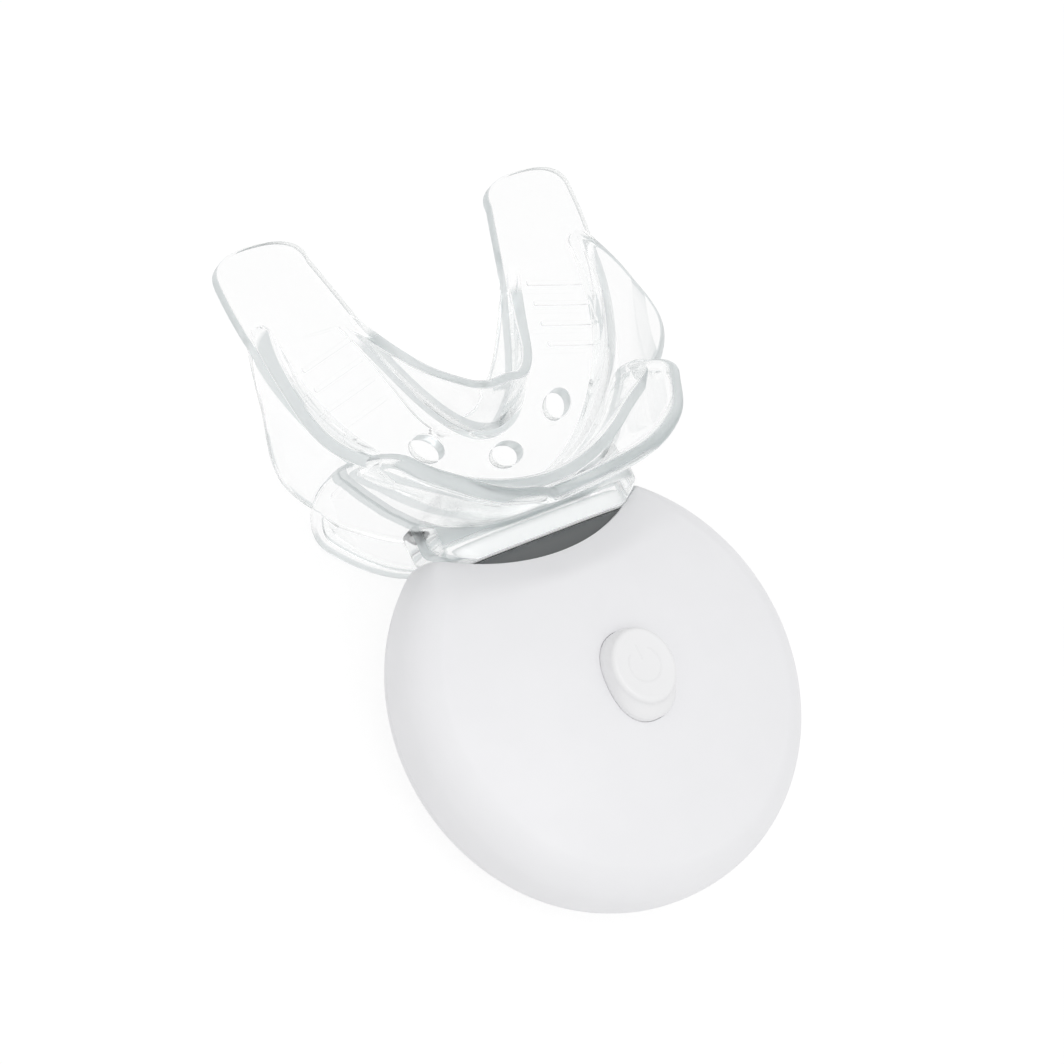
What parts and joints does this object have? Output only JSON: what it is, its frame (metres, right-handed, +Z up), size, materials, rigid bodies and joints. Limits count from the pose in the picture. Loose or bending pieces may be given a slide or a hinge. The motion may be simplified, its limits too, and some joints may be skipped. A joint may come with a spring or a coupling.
{
  "type": "led teeth whitening mouth tray",
  "caption": "Clear soft bite tray with a lobed lip shield, plugged over the smoked light window of a round white domed case with a push button.",
  "frame": {"origin": "middle of the case's flat rear face, on the axis of its round outline", "axes": "+Z up through the button, +Y from the case towards the tips of the tray, +X across the tray"},
  "size_m": [0.063, 0.1068, 0.0363],
  "materials": {
    "clear_elastomer": "clear glossy soft moulding",
    "white_shell": "satin",
    "smoked_window": "smoked, glossy",
    "button_white": "satin",
    "board_green": "solder resist over glass fibre",
    "led_resin": "clear resin",
    "reflector_white": "moulded",
    "component_black": "moulded",
    "bright_steel": "bright",
    "contact_brass": "sprung strip",
    "seal_rubber": "matte",
    "plunger_ivory": "moulded"
  },
  "bodies": {
    "case": {"front_shell": "white_shell", "rear_shell": "white_shell", "light_window": "smoked_window", "led_board": "board_green", "led_reflector": "reflector_white", "main_board": "board_green", "led_header": "component_black", "switch_body": "component_black", "snap_dome": "bright_steel", "control_chip": "component_black", "capacitor": "bright_steel", "resistor_1": "component_black", "resistor_2": "component_black", "coin_cell_1": "bright_steel", "coin_cell_2": "bright_steel", "contact_negative": "contact_brass", "contact_positive": "contact_brass", "led_1": "led_resin", "led_2": "led_resin", "led_3": "led_resin", "led_4": "led_resin", "led_5": "led_resin", "case_screw_1": "bright_steel", "case_screw_2": "bright_steel", "case_screw_3": "bright_steel", "case_screw_4": "bright_steel"},
    "button": {"button_cap": "button_white", "switch_plunger": "plunger_ivory"},
    "mouthpiece": {"mouthpiece": "clear_elastomer"},
    "battery_door": {"battery_door": "white_shell", "door_seal": "seal_rubber"}
  },
  "joints": [
    {"name": "button_press", "type": "slide", "parent": "case", "child": "button", "axis": [0, 0, -1], "range_m": [0, 0.0005], "stiffness_N_per_m": 3000, "deforming": ["snap_dome"]},
    {"name": "mouthpiece_pull", "type": "slide", "parent": "case", "child": "mouthpiece", "axis": [0, 1, 0], "range_m": [0, 0.014]},
    {"name": "battery_door_lift", "type": "slide", "parent": "case", "child": "battery_door", "axis": [0, 0, -1], "range_m": [0, 0.012]}
  ]
}
